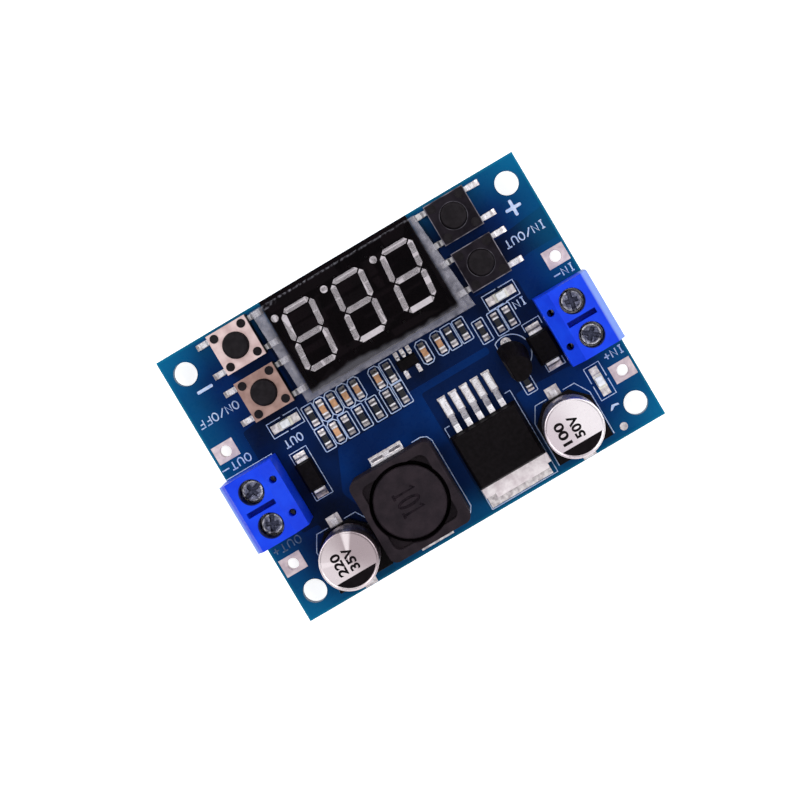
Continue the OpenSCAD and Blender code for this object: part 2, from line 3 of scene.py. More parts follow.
import bpy
from mathutils import Matrix, Vector, noise
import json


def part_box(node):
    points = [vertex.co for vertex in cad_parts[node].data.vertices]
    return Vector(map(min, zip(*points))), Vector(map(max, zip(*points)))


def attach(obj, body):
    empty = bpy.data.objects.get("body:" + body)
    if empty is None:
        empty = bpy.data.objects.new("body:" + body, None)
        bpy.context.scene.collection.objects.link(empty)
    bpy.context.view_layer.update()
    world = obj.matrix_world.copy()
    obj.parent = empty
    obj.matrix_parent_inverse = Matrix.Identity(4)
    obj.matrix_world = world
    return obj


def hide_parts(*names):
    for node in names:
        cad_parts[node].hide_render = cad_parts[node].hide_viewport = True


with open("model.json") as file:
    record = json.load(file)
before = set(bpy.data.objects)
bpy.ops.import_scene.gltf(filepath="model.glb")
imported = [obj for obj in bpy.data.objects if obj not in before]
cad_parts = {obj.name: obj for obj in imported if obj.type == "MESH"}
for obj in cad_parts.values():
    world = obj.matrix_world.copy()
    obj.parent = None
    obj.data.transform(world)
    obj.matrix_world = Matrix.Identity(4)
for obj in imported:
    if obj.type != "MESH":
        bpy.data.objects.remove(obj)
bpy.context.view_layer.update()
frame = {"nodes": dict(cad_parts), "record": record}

# ---- Floor, lamps and camera -------------------------------------------------
# The module lies on its pin tips on a white sheet under large soft lamps.
# Lengths are in millimetres, measured from the board's centre and top face.

MM = 0.001
board_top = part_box("circuit_board")[1].z


def at(x, y, h=0.0):
    """Point at x, y and height h above the board's top face, in metres."""
    return Vector((x * MM, y * MM, board_top + h * MM))


def linear(hex_colour, alpha=1.0):
    """RGBA that the shaders use, from an sRGB hex value."""
    channels = [int(hex_colour[i:i + 2], 16) / 255 for i in (1, 3, 5)]
    return [c / 12.92 if c < 0.04045 else ((c + 0.055) / 1.055) ** 2.4 for c in channels] + [alpha]


def add_node(material, kind, inputs=None, **settings):
    """Adds a shader node; an input is a value or the socket that feeds it."""
    node = material.node_tree.nodes.new("ShaderNode" + kind)
    for name, value in settings.items():
        setattr(node, name, value)
    for name, value in (inputs or {}).items():
        if isinstance(value, bpy.types.NodeSocket):
            material.node_tree.links.new(value, node.inputs[name])
        else:
            node.inputs[name].default_value = value
    return node


def new_material(name, colour, roughness, metallic=0.0, coat=0.0, specular=0.5):
    """Material with one Principled shader; returns both."""
    material = bpy.data.materials.new(name)
    material.use_nodes = True
    shader = material.node_tree.nodes["Principled BSDF"]
    shader.inputs["Base Color"].default_value = linear(colour)
    shader.inputs["Roughness"].default_value = roughness
    shader.inputs["Metallic"].default_value = metallic
    shader.inputs["Coat Weight"].default_value = coat
    shader.inputs["Coat Roughness"].default_value = 0.1
    shader.inputs["Specular IOR Level"].default_value = specular
    return material, shader


def select_only(*objects):
    """Leaves only these objects selected, the first one active."""
    bpy.ops.object.select_all(action="DESELECT")
    for obj in objects:
        obj.select_set(True)
    bpy.context.view_layer.objects.active = objects[0]


pin_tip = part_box("display_pins")[0].z
bpy.ops.object.select_all(action="DESELECT")
bpy.ops.mesh.primitive_plane_add(size=3, location=(0, 0, pin_tip))
floor = bpy.context.active_object
floor.name = "floor"
paper, shader = new_material("white_paper", "#f2f2f2", 0.9)
ray = add_node(paper, "LightPath").outputs
seen = add_node(paper, "Math", {0: ray["Is Camera Ray"], 1: ray["Is Glossy Ray"]}, operation="MAXIMUM")
seen = add_node(paper, "Math", {0: seen.outputs[0], 1: ray["Is Transmission Ray"]}, operation="MAXIMUM")
glow = add_node(paper, "Emission", {"Color": linear("#ffffff"), "Strength": 0.72})
lit = add_node(paper, "AddShader", {0: shader.outputs[0], 1: glow.outputs[0]})
both = add_node(paper, "MixShader", {0: seen.outputs[0], 1: shader.outputs[0], 2: lit.outputs[0]})
output = paper.node_tree.nodes["Material Output"]
paper.node_tree.links.new(both.outputs[0], output.inputs["Surface"])
floor.data.materials.append(paper)

# The studio is white at the horizon and darker overhead, so flat glossy faces stay deep.
studio = bpy.data.worlds.new("studio")
bpy.context.scene.world = studio
studio.use_nodes = True
height = add_node(studio, "SeparateXYZ", {0: add_node(studio, "TexCoord").outputs["Generated"]})
level = add_node(studio, "MapRange", {
    "Value": height.outputs["Z"], "From Min": 0.0, "From Max": 0.65, "To Min": 0.85, "To Max": 0.1})
ray = add_node(studio, "LightPath").outputs
level = add_node(studio, "Math", {0: level.outputs[0], 1: ray["Is Camera Ray"]}, operation="MAXIMUM")
backdrop = studio.node_tree.nodes["Background"]
backdrop.inputs["Color"].default_value = linear("#ffffff")
studio.node_tree.links.new(level.outputs[0], backdrop.inputs["Strength"])


def soft_lamp(name, place, size, power):
    """Square area lamp that faces the board."""
    lamp = bpy.data.lights.new(name, "AREA")
    lamp.size = size
    lamp.energy = power
    obj = bpy.data.objects.new(name, lamp)
    obj.location = place
    obj.rotation_euler = (at(0, 0) - obj.location).to_track_quat("-Z", "Y").to_euler()
    bpy.context.scene.collection.objects.link(obj)


soft_lamp("ceiling_panel", (-0.02, 0.03, 0.62), 0.9, 2.3)
soft_lamp("key_panel", (-0.27, 0.36, 0.42), 0.34, 1.3)
soft_lamp("right_panel", (0.44, 0.06, 0.4), 0.4, 1.6)
soft_lamp("front_panel", (-0.05, -0.45, 0.4), 0.4, 0.5)

eye = at(14.155, 12.504, 291.63)
aim = at(-1.985, -0.651)
picture_up = Vector((0.5105, 0.8599, 0))
back = (eye - aim).normalized()
right = picture_up.cross(back).normalized()
camera = bpy.data.objects.new("camera", bpy.data.cameras.new("camera"))
camera.data.lens = 97.0
camera.data.sensor_width = 36.0
camera.data.clip_start = 0.01
turn = Matrix((right, back.cross(right), back)).transposed().to_4x4()
camera.matrix_world = Matrix.Translation(eye) @ turn
bpy.context.scene.collection.objects.link(camera)
bpy.context.scene.camera = camera
bpy.context.scene.view_settings.view_transform = "Standard"

# ---- Circuit board -----------------------------------------------------------
# Glass-epoxy laminate under blue solder mask: a glossy film of lacquer, darker
# where it lies on bare laminate, lighter over copper and palest at the edges.


def position(material):
    """X, Y and Z on the piece's own coordinates."""
    return add_node(material, "SeparateXYZ", {0: add_node(material, "TexCoord").outputs["Object"]}).outputs


def grain(material, size, detail=3.0):
    """Noise with a grain of this size in millimetres, on the piece's own coordinates."""
    place = add_node(material, "TexCoord").outputs["Object"]
    noisy = add_node(material, "TexNoise", {"Vector": place, "Scale": 1 / (size * MM), "Detail": detail})
    return noisy.outputs[0]


def spread(material, source, low, high):
    """Stretches the middle of a noise to run from low to high."""
    return add_node(material, "MapRange", {
        "Value": source, "From Min": 0.35, "From Max": 0.65, "To Min": low, "To Max": high,
    }).outputs[0]


def mottled(material, shader, size, colour_a, colour_b):
    """Base colour that wanders between two tones at this grain; returns its socket."""
    factor = spread(material, grain(material, size), 0.0, 1.0)
    mix = add_node(material, "Mix", {0: factor, 6: linear(colour_a), 7: linear(colour_b)}, data_type="RGBA")
    material.node_tree.links.new(mix.outputs[2], shader.inputs["Base Color"])
    return mix.outputs[2]


def rough_grain(material, shader, size, low, high, depth):
    """Roughness from low to high, and relief of this depth in millimetres."""
    texture = grain(material, size, 4.0)
    material.node_tree.links.new(spread(material, texture, low, high), shader.inputs["Roughness"])
    bump = add_node(material, "Bump", {"Height": texture, "Distance": depth * MM, "Strength": 1.0})
    material.node_tree.links.new(bump.outputs[0], shader.inputs["Normal"])


def dress(material, *names, bevel=0.0, segments=2, merge_flat=True):
    """Gives CAD nodes a material, and eases their sharp edges by bevel millimetres."""
    for name in names:
        obj = frame["nodes"][name]
        obj.data.materials.clear()
        obj.data.materials.append(material)
        if bevel:
            obj.modifiers.new("weld", "WELD").merge_threshold = 0.002 * MM
            if merge_flat:
                flat = obj.modifiers.new("flat", "DECIMATE")
                flat.decimate_type = "DISSOLVE"
                flat.angle_limit = math.radians(1.0)
            ease = obj.modifiers.new("ease", "BEVEL")
            ease.width = bevel * MM
            ease.segments = segments
            ease.limit_method = "ANGLE"
            ease.angle_limit = math.radians(35)


def lacquer(name, tone_a, tone_b):
    """Blue solder mask that pales towards the board's edges, most of all on the sawn rim."""
    material, shader = new_material(name, tone_a, 0.3, specular=0.04)
    tone = mottled(material, shader, 7.0, tone_a, tone_b)
    place = position(material)
    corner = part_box("circuit_board")[1]
    for reach, high, colour in ((6.5, 0.5, "#055d8a"), (0.45, 0.6, "#0d7a9c")):
        past = []
        for axis, end in (("X", corner.x), ("Y", corner.y)):
            off = add_node(material, "Math", {0: place[axis]}, operation="ABSOLUTE")
            past.append(add_node(material, "MapRange", {
                "Value": off.outputs[0], "From Min": end - reach * MM, "From Max": end,
                "To Min": 0.0, "To Max": high}, interpolation_type="SMOOTHSTEP").outputs[0])
        rim = add_node(material, "Math", {0: past[0], 1: past[1]}, operation="ADD")
        mix = add_node(material, "Mix", {0: rim.outputs[0], 6: tone, 7: linear(colour)}, data_type="RGBA")
        tone = mix.outputs[2]
    material.node_tree.links.new(tone, shader.inputs["Base Color"])
    rough_grain(material, shader, 0.9, 0.24, 0.36, 0.003)
    return material


solder_mask = lacquer("blue_solder_mask", "#020f2c", "#021b48")
dress(solder_mask, "circuit_board")


def rounded(corners, radius):
    """The outline through these [x, y] corners, each turned by an arc of this radius."""
    points = []
    for i, corner in enumerate(corners):
        here = Vector(corner)
        before = (Vector(corners[i - 1]) - here).normalized()
        after = (Vector(corners[(i + 1) % len(corners)]) - here).normalized()
        for t in (0, 0.25, 0.5, 0.75, 1):
            points.append(here + before * radius * (1 - t) ** 2 + after * radius * t ** 2)
    return points


def drawn(curve, lines):
    """Mesh of this curve run through [x, y] points in millimetres; a line back to its start is closed."""
    for points in lines:
        closed = points[0] == points[-1]
        points = points[:-1] if closed else points
        spline = curve.splines.new("POLY")
        spline.points.add(len(points) - 1)
        spline.use_cyclic_u = closed
        for point, (x, y) in zip(spline.points, points):
            point.co = (x * MM, y * MM, 0, 1)
    obj = bpy.data.objects.new(curve.name, curve)
    bpy.context.scene.collection.objects.link(obj)
    select_only(obj)
    bpy.ops.object.convert(target="MESH")
    return obj


def flat_shape(name, outline, material, thickness, holes=(), h=0.0):
    """Flat piece of this outline, in millimetres, with other outlines cut out of it."""
    curve = bpy.data.curves.new(name, "CURVE")
    curve.dimensions = "2D"
    curve.fill_mode = "BOTH"
    curve.extrude = thickness * MM / 2
    obj = drawn(curve, [points + points[:1] for points in (outline, *holes)])
    obj.location.z = at(0, 0, h + thickness / 2).z
    bpy.ops.object.transform_apply()
    obj.data.materials.append(material)
    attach(obj, "module")


def circle(x, y, radius):
    """Points round a circle."""
    turns = [i * math.tau / 40 for i in range(40)]
    return [(x + radius * math.cos(turn), y + radius * math.sin(turn)) for turn in turns]


# The copper pours keep a narrow ring clear round every drilled hole.
clear_ring = 0.15
mounts = {mount["name"]: mount for mount in frame["record"]["mounts"]}
drilled = []
for name in ("mounting_holes", "wire_holes"):
    dims, middle = mounts[name]["dims"], mounts[name]["pos_m"]
    for sx in (-1, 1):
        for sy in (-1, 1):
            x = middle[0] / MM + sx * dims["spacing_x_mm"] / 2
            y = middle[1] / MM + sy * dims["spacing_y_mm"] / 2
            drilled.append((x, y, dims["hole_r_mm"] + clear_ring))
copper_mask = lacquer("blue_mask_over_copper", "#011d4e", "#012964")
for name, corners in (
    ("copper_left", [
        (-27.7, -20.2), (-27.7, 20.2), (-13.6, 20.2), (-13.6, 7.6),
        (-22.7, 6.4), (-22.7, -9.6), (-20.2, -9.6), (-20.2, -20.2)]),
    ("copper_middle", [
        (-12.6, -1.95), (-1.1, -1.95), (-1.1, -0.35), (11.8, -0.35), (11.8, -1.4), (0.9, -1.4), (0.9, -20.2),
        (-14.2, -20.2), (-14.2, -10.2), (-15.2, -7.6)]),
    ("copper_right", [(11.9, -7.9), (19.0, -8.3), (27.7, -9.0), (27.7, -20.2), (11.9, -20.2)]),
    ("copper_input", [(13.6, 6.3), (23.2, 7.6), (27.7, 7.6), (27.7, 2.0), (19.9, 2.0), (19.9, 5.4)]),
    ("copper_top", [(12.9, 20.2), (27.7, 20.2), (27.7, 12.2), (20.4, 11.4), (12.9, 11.4)]),
):
    xs, ys = [c[0] for c in corners], [c[1] for c in corners]
    inside = [
        circle(x, y, r) for x, y, r in drilled
        if min(xs) < x - r and x + r < max(xs) and min(ys) < y - r and y + r < max(ys)
    ]
    flat_shape(name, rounded(corners, 0.45), copper_mask, 0.012, inside)

# ---- Printing on the board ---------------------------------------------------
# White screen-printed ink, thin enough for the blue to tint it. All words stand
# upside down towards the display edge; the place of the board's code is bare.

ink, shader = new_material("white_screen_ink", "#b3c6ea", 0.55)
mottled(ink, shader, 0.5, "#9cb5e4", "#c9d6f0")
# The word OUT+ is much fainter than the others.
rubbed_ink, shader = new_material("rubbed_screen_ink", "#4b6384", 0.6)
mottled(rubbed_ink, shader, 0.5, "#5c7496", "#334a68")

# Strokes of the board's plain drawn letters, on a cell one unit high.
ROUND = [(0.34 + 0.34 * math.cos(a * math.pi / 8), 0.5 + 0.5 * math.sin(a * math.pi / 8)) for a in range(17)]
STROKES = {
    "O": [ROUND],
    "N": [[(0.02, 0), (0.02, 1), (0.66, 0), (0.66, 1)]],
    "F": [[(0.04, 0), (0.04, 1), (0.66, 1)], [(0.04, 0.52), (0.5, 0.52)]],
    "U": [[(0.03, 1), (0.03, 0.3), (0.12, 0.1), (0.34, 0), (0.56, 0.1), (0.65, 0.3), (0.65, 1)]],
    "T": [[(0, 1), (0.68, 1)], [(0.34, 1), (0.34, 0)]],
    "I": [[(0.14, 1), (0.54, 1)], [(0.34, 1), (0.34, 0)], [(0.14, 0), (0.54, 0)]],
    "/": [[(0, 0.02), (0.68, 0.98)]],
    "+": [[(0, 0.5), (0.68, 0.5)], [(0.34, 0.1), (0.34, 0.9)]],
    "-": [[(0, 0.5), (0.9, 0.5)]],
    "0": [ROUND],
    "1": [[(0.06, 0.86), (0.34, 1), (0.34, 0)], [(0.06, 0), (0.62, 0)]],
}


def outlined(name, lines, width, material, h=0.0):
    """Flat printed lines of this width in millimetres, through [x, y] points."""
    ink_height = 0.04
    curve = bpy.data.curves.new(name, "CURVE")
    curve.dimensions = "3D"
    curve.bevel_depth = width * MM / 2
    curve.bevel_resolution = 1
    curve.use_fill_caps = True
    obj = drawn(curve, lines)
    obj.scale.z = ink_height / width
    obj.location.z = at(0, 0, h + 0.01).z
    bpy.ops.object.transform_apply()
    obj.data.materials.append(material)
    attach(obj, "module")


def stroked(name, words, material, x, y, width, turn=180, h=0.0):
    """Words drawn in strokes, that fill x[0]..x[1] by y[0]..y[1], turned by this many degrees."""
    pitch = 0.94
    c, s = math.cos(math.radians(turn)), math.sin(math.radians(turn))
    lines = []
    for i, letter in enumerate(words):
        for stroke in STROKES[letter]:
            moved = [(i * pitch + u, v) for u, v in stroke]
            lines.append([(u * c - v * s, u * s + v * c) for u, v in moved])
    fitted = []
    for i, (start, end) in enumerate((x, y)):
        places = [point[i] for line in lines for point in line]
        low, high = min(places), max(places)
        fitted.append([
            [start + width / 2 + (point[i] - low) / (high - low) * (end - start - width) for point in line]
            for line in lines
        ])
    outlined(name, [list(zip(across, along)) for across, along in zip(*fitted)], width, material, h)


for name, words, x, y in (
    ("word_on_off", "ON/OFF", (-27.4, -21.1), (9.5, 10.8)),
    ("word_in_out", "IN/OUT", (20.8, 26.9), (9.4, 10.7)),
    ("word_output_minus", "OUT-", (-27.9, -23.3), (2.55, 3.85)),
    ("word_output_plus", "OUT+", (-27.6, -23.2), (-10.55, -9.25)),
    ("word_input_minus", "IN-", (24.3, 27.4), (2.45, 3.7)),
    ("word_input_plus", "IN+", (24.6, 27.5), (-10.45, -9.2)),
    ("word_out", "OUT", (-18.7, -15.8), (1.35, 2.65)),
    ("word_in", "IN", (17.7, 19.5), (1.85, 3.1)),
):
    stroked(name, words, rubbed_ink if words == "OUT+" else ink, x, y, width=0.2)


def solids(node):
    """Middle, in millimetres, of each separate solid of a CAD node."""
    mesh = frame["nodes"][node].data
    owner = {}

    def root(key):
        while owner[key] != key:
            key = owner[key]
        return key

    keys = [tuple(round(c / MM, 3) for c in v.co) for v in mesh.vertices]
    for key in keys:
        owner[key] = key
    for face in mesh.polygons:
        first = root(keys[face.vertices[0]])
        for i in face.vertices[1:]:
            owner[root(keys[i])] = first
    groups = {}
    for key in owner:
        groups.setdefault(root(key), []).append(key)
    return [
        [(min(k[i] for k in group) + max(k[i] for k in group)) / 2 for i in range(3)]
        for group in groups.values()
    ]


def loop(x0, x1, y0, y1, cut=0.0):
    """Closed outline of a rectangle with cut corners."""
    corners = [
        (x0 + cut, y0), (x1 - cut, y0), (x1, y0 + cut), (x1, y1 - cut),
        (x1 - cut, y1), (x0 + cut, y1), (x0, y1 - cut), (x0, y0 + cut),
    ] if cut else [(x0, y0), (x1, y0), (x1, y1), (x0, y1)]
    return corners + corners[:1]


# Boxes round the chips; those of the capacitors have cut corners.
frames = []
wide, tall = 0.82, 1.72
for cut, node in ((0.12, "chip_resistor_bodies"), (0.42, "chip_capacitor_bodies")):
    for x, y, _ in solids(node):
        frames.append(loop(x - wide, x + wide, y - tall, y + tall, cut))
# Pairs of brackets round the lights, those on the upper half lying across.
gap = 0.2
for x, y, _ in solids("led_bodies"):
    for s in (-1, 1):
        if y > 0:
            bracket = [(s * gap, -1.1), (s * 2.4, -1.1), (s * 2.4, 1.1), (s * gap, 1.1)]
        else:
            bracket = [(-1.15, s * gap), (-1.15, s * 2.45), (1.15, s * 2.45), (1.15, s * gap)]
        frames.append([(x + u, y + v) for u, v in bracket])
# Capacitor corners, with the two chamfers that mark the positive side.
for x in (-18.1, 16.4):
    for s in (-1, 1):
        side = [(1.3, -10.68), (3.05, -10.68), (4.3, -12.8), (4.3, -19.3)]
        frames.append([(x + s * u, v) for u, v in side])
# The output diode, both ends of the input diode, the power package, the right
# side of the inductor and a rule over the output terminal.
frames += [
    loop(-18.8, -16.2, -6.75, 0.55),
    [(17.3, -1.4), (17.3, -0.35), (19.9, -0.35), (19.9, -1.4)],
    [(17.3, -6.6), (17.3, -7.65), (19.9, -7.65), (19.9, -6.6)],
    [(1.25, -19.9), (1.25, -7.1), (2.0, -7.1)],
    [(10.6, -7.1), (11.5, -7.1), (11.5, -19.9), (1.25, -19.9)],
    [(-3.6, -6.43), (-2.2, -6.43), (-1.4, -6.8), (-1.03, -7.6), (-1.03, -17.9), (-1.6, -18.8)],
    [(-28, 1.95), (-20.8, 1.95), (-20.8, 1.6)],
]
# The small regulator: a circle cut by a flat.
turns = [math.radians(a) for a in range(-122, 123, 6)]
arc = [(14.3 + 2.65 * math.cos(turn), -3 + 2.65 * math.sin(turn)) for turn in turns]
frames.append(arc + [(12.9, -0.75), (12.9, -5.25), (12.896, -5.247)])
outlined("printed_frames", frames, 0.16, ink)

minus = [(-25.25, 13.88), (-22.85, 13.88), (-22.85, 14.32), (-25.25, 14.32)]
arm, half = 1.18, 0.22
plus = [(24.4 + x, 13.9 + y) for x, y in (
    (-half, arm), (-half, half), (-arm, half), (-arm, -half), (-half, -half), (-half, -arm),
    (half, -arm), (half, -half), (arm, -half), (arm, half), (half, half), (half, arm),
)]
dash = [(21.8, -16.5), (22.3, -15.8), (23.2, -15.95), (23.3, -16.25), (22.6, -16.15), (22.1, -16.5)]
for name, corners, radius in (("minus", minus, 0.18), ("plus", plus, 0.2), ("dash", dash, 0.12)):
    flat_shape("printed_" + name, rounded(corners, radius), ink, 0.02, h=0.012)

# ---- Solder, lands and leads -------------------------------------------------
# Reflowed tin-based solder and tinned copper: bright, soft-edged and a little
# lumpy, with a cooler grey where the solder froze dull.

solder, shader = new_material("reflowed_solder", "#d3cccd", 0.38, metallic=0.9)
tone = mottled(solder, shader, 0.6, "#e4dedf", "#aaa2a6")
# Painted shade: the power package's lands are dark along their sides, away from the five leads, where shade
# falls between them.
lead_pitch, bright_to, dark_from = 1.72 * MM, 0.49 * MM, 0.56 * MM
lead_low, lead_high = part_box("regulator_leads")
place = position(solder)
across = add_node(solder, "Math", {0: place["X"], 1: (lead_low.x + lead_high.x) / 2}, operation="SUBTRACT")
across = add_node(solder, "Math", {0: across.outputs[0]}, operation="ABSOLUTE").outputs[0]
from_lead = add_node(solder, "Math", {0: across, 1: lead_pitch / 2}, operation="PINGPONG").outputs[0]
painted_gap_shade = add_node(solder, "MapRange", {
    "Value": from_lead, "From Min": bright_to, "From Max": dark_from}).outputs[0]
for value, start, end in (
    (across, 2.6 * lead_pitch, 2.5 * lead_pitch),
    (place["Y"], lead_low.y - 0.1 * MM, lead_low.y),
    (place["Y"], lead_high.y - 0.1 * MM, lead_high.y - 0.25 * MM),
):
    inside = add_node(solder, "MapRange", {"Value": value, "From Min": start, "From Max": end})
    painted_gap_shade = add_node(solder, "Math", {0: painted_gap_shade, 1: inside.outputs[0]}, operation="MULTIPLY").outputs[0]
mix = add_node(solder, "Mix", {0: painted_gap_shade, 6: tone, 7: linear("#0c1126")}, data_type="RGBA")
solder.node_tree.links.new(mix.outputs[2], shader.inputs["Base Color"])
rough_grain(solder, shader, 0.35, 0.25, 0.5, 0.02)
dress(solder, "solder_pads", "underside_solder", bevel=0.04)

plate, shader = new_material("hot_tinned_copper", "#d8c9cd", 0.45, metallic=0.65)
mottled(plate, shader, 1.1, "#e0cfd2", "#bfaeb5")
rough_grain(plate, shader, 0.8, 0.35, 0.55, 0.03)
dress(plate, "wire_pads", bevel=0.03)

tin, shader = new_material("bright_tin_plate", "#eceaee", 0.36, metallic=0.6)
mottled(tin, shader, 0.8, "#f3f1f5", "#d0cbd1")
rough_grain(tin, shader, 0.25, 0.24, 0.4, 0.008)
dress(tin, "regulator_leads", bevel=0.06)
dress(tin, "diode_leads", "capacitor_leads", "switch_leads", "amplifier_leads",
      "microcontroller_leads", bevel=0.03)
dress(tin, "small_regulator_leads", "terminal_contacts", "display_pins", "inductor_terminals", bevel=0.05)

# ---- Chips, lights and small packages ----------------------------------------
# Fired ceramic blocks with dipped tin ends; resistors carry a black glaze on
# top. The lights are white ceramic bases under a cast clear resin block.

glaze, shader = new_material("black_resistor_glaze", "#15161c", 0.3, specular=0.25)
mottled(glaze, shader, 0.3, "#101217", "#23252e")
dress(glaze, "chip_resistor_bodies", bevel=0.04)

tan, shader = new_material("tan_capacitor_ceramic", "#c8966c", 0.45)
mottled(tan, shader, 0.5, "#d3a078", "#b5835b")
dress(tan, "chip_capacitor_bodies", bevel=0.05)
dress(tin, "chip_ends", bevel=0.06)

ceramic, shader = new_material("white_alumina", "#e9e6dc", 0.5)
mottled(ceramic, shader, 0.4, "#f0ede4", "#d8d3c4")
dress(ceramic, "led_bodies", bevel=0.03)
resin, shader = new_material("clear_lens_resin", "#f2f3f5", 0.15, coat=0.5)
mottled(resin, shader, 0.5, "#f8f9fa", "#dde0e4")
dress(resin, "led_lenses", bevel=0.06)

epoxy, shader = new_material("moulded_black_epoxy", "#0a070a", 0.5, specular=0.06)
mottled(epoxy, shader, 0.5, "#080507", "#100c0f")
rough_grain(epoxy, shader, 0.12, 0.45, 0.65, 0.006)
dress(epoxy, "amplifier_body", "microcontroller_body", bevel=0.05)
dress(epoxy, "output_diode_body", "input_diode_body", bevel=0.1)

# ---- Regulators ---------------------------------------------------------------
# The power package is epoxy moulded over a stamped, tinned copper tab, with fine
# spark-eroded grain on its faces. The small one stands bent over on three leads.

dress(epoxy, "regulator_body", "small_regulator_body", bevel=0.12, segments=3)
tab, shader = new_material("tinned_copper_tab", "#ede4e8", 0.42, metallic=0.9)
mottled(tab, shader, 1.2, "#f4ecef", "#d9cdd2")
rough_grain(tab, shader, 0.3, 0.36, 0.5, 0.006)
dress(tab, "regulator_tab", bevel=0.08)

# ---- Inductor ----------------------------------------------------------------
# Pressed and fired ferrite: a square shield round a drum core, both a warm dark
# grey with fine pits. Enamelled copper is wound between the drum's flanges.

ferrite, shader = new_material("fired_ferrite", "#251e24", 0.6, specular=0.1)
mottled(ferrite, shader, 1.8, "#1f191f", "#2a2228")
rough_grain(ferrite, shader, 0.2, 0.5, 0.72, 0.02)
dress(ferrite, "inductor_core", bevel=0.15, segments=3)
dress(ferrite, "inductor_shield", bevel=0.15, segments=3, merge_flat=False)
enamel, shader = new_material("enamelled_copper_wire", "#7a3b1c", 0.3, metallic=1.0)
mottled(enamel, shader, 0.8, "#8a4a26", "#64300f")
dress(enamel, "inductor_winding")
phenolic, shader = new_material("moulded_phenolic", "#0b080a", 0.5, specular=0.06)
mottled(phenolic, shader, 0.5, "#080607", "#110d10")
dress(phenolic, "inductor_base", bevel=0.08)
faint, shader = new_material("faded_grey_ink", "#1a141a", 0.8, specular=0.03)
mottled(faint, shader, 0.5, "#141015", "#221b21")
core_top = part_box("inductor_core")[1].z / MM - board_top / MM
stroked("inductor_value", "101", faint, (-9.1, -5.7), (-14.45, -10.55), width=0.36, turn=270, h=core_top)

# ---- Capacitors ----------------------------------------------------------------
# Deep-drawn aluminium cans with a rolled top edge and a crimped neck, on black
# moulded bases. The negative side and the value are printed on the top.


def lettered(name, words, material, x, y, turn, h):
    """Printed words that fill x[0]..x[1] by y[0]..y[1], turned by this many degrees."""
    bpy.ops.object.select_all(action="DESELECT")
    bpy.ops.object.text_add()
    obj = bpy.context.active_object
    obj.name = name
    obj.data.body = words
    obj.data.extrude = 0.01
    obj.data.offset = 0.034
    bpy.ops.object.convert(target="MESH")
    obj = bpy.context.active_object
    obj.rotation_euler.z = math.radians(turn)
    bpy.ops.object.transform_apply()
    corners = [Vector(c) for c in obj.bound_box]
    low = Vector([min(c[i] for c in corners) for i in range(3)])
    high = Vector([max(c[i] for c in corners) for i in range(3)])
    size = Vector(((x[1] - x[0]) * MM, (y[1] - y[0]) * MM, 0.02 * MM))
    obj.scale = [size[i] / (high[i] - low[i]) for i in range(3)]
    obj.location = at(sum(x) / 2, sum(y) / 2, h + 0.01)
    obj.location -= Vector([(low[i] + high[i]) / 2 * obj.scale[i] for i in range(3)])
    bpy.ops.object.transform_apply()
    obj.data.materials.append(material)
    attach(obj, "module")


def drawn_can(name, x, y, dark, light, lit_bearing, highlight_streaks):
    """Aluminium whose colour carries painted highlights: palest towards one bearing, with narrow painted
    highlight streaks from the middle towards others, all in degrees; dark is the shaded tone and light the
    lit tone.
    """
    material, shader = new_material(name, light, 0.42, metallic=1.0)
    centred = add_node(material, "Mapping", {
        "Vector": add_node(material, "TexCoord").outputs["Object"], "Location": (-x * MM, -y * MM, 0)})
    place = add_node(material, "SeparateXYZ", {0: centred.outputs[0]}).outputs
    angle = add_node(material, "Math", {0: place["Y"], 1: place["X"]}, operation="ARCTAN2").outputs[0]
    painted_can_highlight = None
    for toward, edge, strength in ((lit_bearing, -1.0, 0.75), *((streak, 0.975, 1.0) for streak in highlight_streaks)):
        off = add_node(material, "Math", {0: angle, 1: math.radians(toward)}, operation="SUBTRACT")
        near = add_node(material, "Math", {0: off.outputs[0]}, operation="COSINE")
        glint = add_node(material, "MapRange", {
            "Value": near.outputs[0], "From Min": edge, "From Max": 1.0, "To Min": 0.0, "To Max": strength},
            interpolation_type="SMOOTHSTEP").outputs[0]
        if painted_can_highlight:
            glint = add_node(material, "Math", {0: painted_can_highlight, 1: glint}, operation="MAXIMUM").outputs[0]
        painted_can_highlight = glint
    mix = add_node(material, "Mix", {0: painted_can_highlight, 6: linear(dark), 7: linear(light)}, data_type="RGBA")
    material.node_tree.links.new(mix.outputs[2], shader.inputs["Base Color"])
    rough_grain(material, shader, 0.3, 0.26, 0.38, 0.003)
    return material


can_y = -15.05
# The tones and streaks on both cans are painted highlights.
dress(drawn_can("drawn_aluminium_output", -18.1, can_y, "#a99a9f", "#ece1e5", 205, (67, 160)),
      "output_capacitor_can", bevel=0.05)
dress(drawn_can("drawn_aluminium_input", 16.35, can_y, "#d2c6cd", "#f8f2f6", 10, ()),
      "input_capacitor_can", bevel=0.05)
dress(phenolic, "output_capacitor_base", "input_capacitor_base", bevel=0.1)
print_black, shader = new_material("black_can_print", "#0b060a", 0.5, specular=0.06)
mottled(print_black, shader, 0.6, "#090508", "#110b10")

